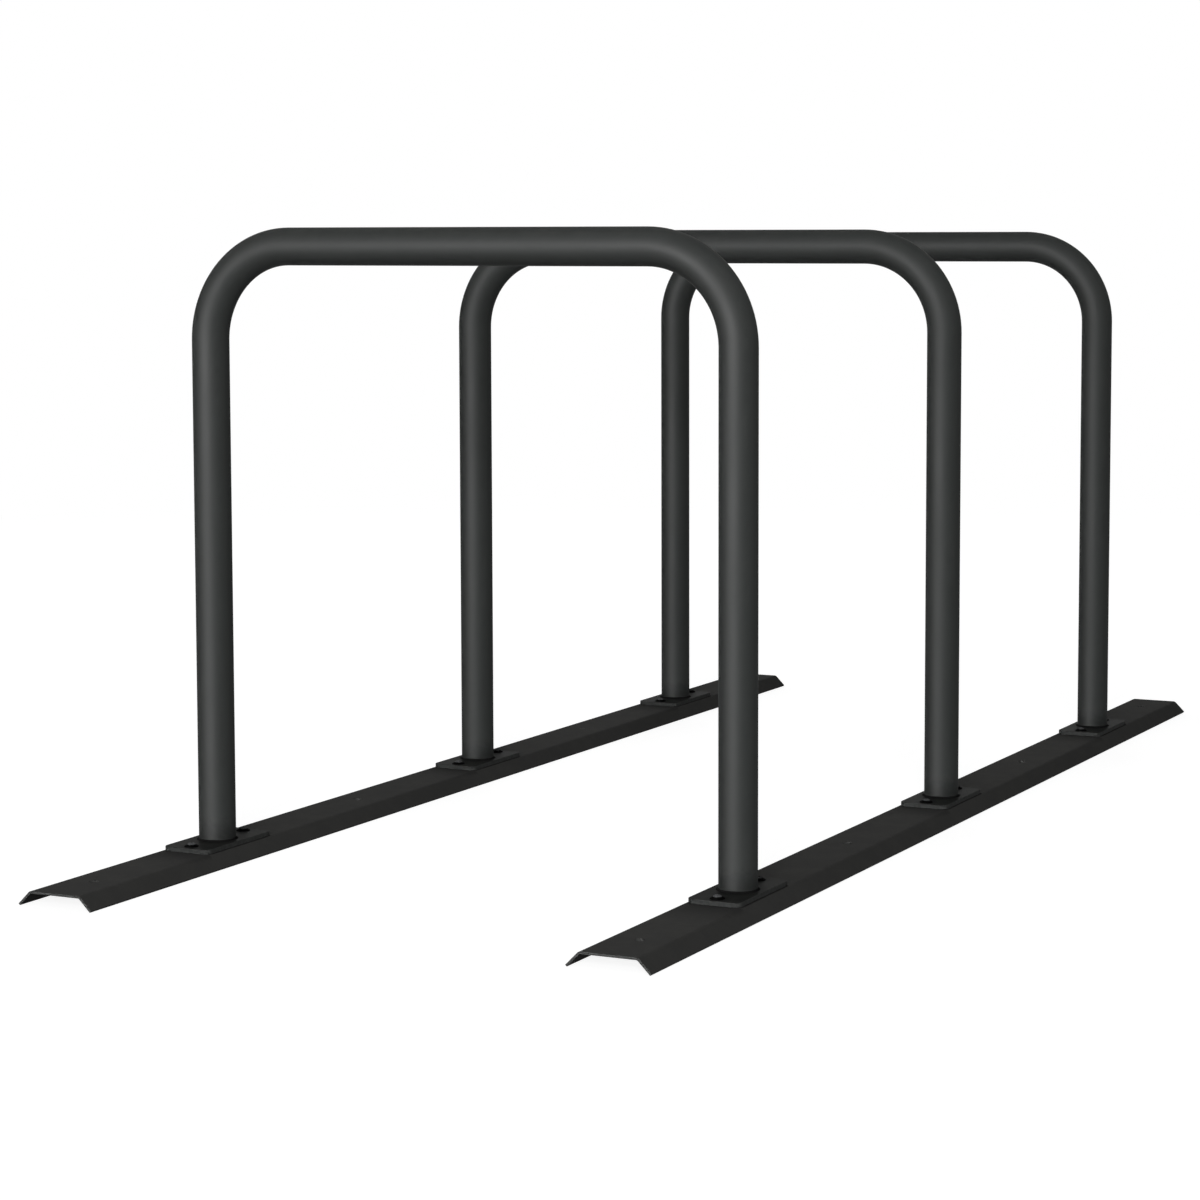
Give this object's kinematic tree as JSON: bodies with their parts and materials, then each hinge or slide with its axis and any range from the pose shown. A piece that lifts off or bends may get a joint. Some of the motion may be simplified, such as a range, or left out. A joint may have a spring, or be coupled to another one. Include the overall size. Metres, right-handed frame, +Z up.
{
  "type": "hoop bike rack",
  "caption": "Street bicycle rack of upright bent tube hoops on bolted foot plates, set in a row on folded steel ground rails with anchor holes.",
  "frame": {"origin": "on the ground at the middle of the rack, midway between the rails and between the first and last hoops", "axes": "+X across the rails in the plane of a hoop, +Y along the rails from the front hoop to the rear one, +Z up"},
  "size_m": [0.8594, 2.1, 0.825],
  "materials": {
    "hoop_coat": "fine matt dark grey powder coat, faintly green",
    "rail_coat": "matt near-black powder coat on folded sheet",
    "plate_coat": "matt near-black powder coat on cut plate and weld",
    "screw_black": "black coated steel, satin",
    "zinc_plated": "dull bright zinc plating"
  },
  "bodies": {
    "root": {"rail_left": "rail_coat", "rail_right": "rail_coat", "hoop_front": "hoop_coat", "hoop_middle": "hoop_coat", "hoop_rear": "hoop_coat", "foot_plate_front_left": "plate_coat", "weld_front_left": "plate_coat", "screw_front_left_front": "screw_black", "washer_front_left_front": "zinc_plated", "nut_front_left_front": "zinc_plated", "screw_front_left_rear": "screw_black", "washer_front_left_rear": "zinc_plated", "nut_front_left_rear": "zinc_plated", "foot_plate_front_right": "plate_coat", "weld_front_right": "plate_coat", "screw_front_right_front": "screw_black", "washer_front_right_front": "zinc_plated", "nut_front_right_front": "zinc_plated", "screw_front_right_rear": "screw_black", "washer_front_right_rear": "zinc_plated", "nut_front_right_rear": "zinc_plated", "foot_plate_middle_left": "plate_coat", "weld_middle_left": "plate_coat", "screw_middle_left_front": "screw_black", "washer_middle_left_front": "zinc_plated", "nut_middle_left_front": "zinc_plated", "screw_middle_left_rear": "screw_black", "washer_middle_left_rear": "zinc_plated", "nut_middle_left_rear": "zinc_plated", "foot_plate_middle_right": "plate_coat", "weld_middle_right": "plate_coat", "screw_middle_right_front": "screw_black", "washer_middle_right_front": "zinc_plated", "nut_middle_right_front": "zinc_plated", "screw_middle_right_rear": "screw_black", "washer_middle_right_rear": "zinc_plated", "nut_middle_right_rear": "zinc_plated", "foot_plate_rear_left": "plate_coat", "weld_rear_left": "plate_coat", "screw_rear_left_front": "screw_black", "washer_rear_left_front": "zinc_plated", "nut_rear_left_front": "zinc_plated", "screw_rear_left_rear": "screw_black", "washer_rear_left_rear": "zinc_plated", "nut_rear_left_rear": "zinc_plated", "foot_plate_rear_right": "plate_coat", "weld_rear_right": "plate_coat", "screw_rear_right_front": "screw_black", "washer_rear_right_front": "zinc_plated", "nut_rear_right_front": "zinc_plated", "screw_rear_right_rear": "screw_black", "washer_rear_right_rear": "zinc_plated", "nut_rear_right_rear": "zinc_plated"}
  },
  "joints": []
}
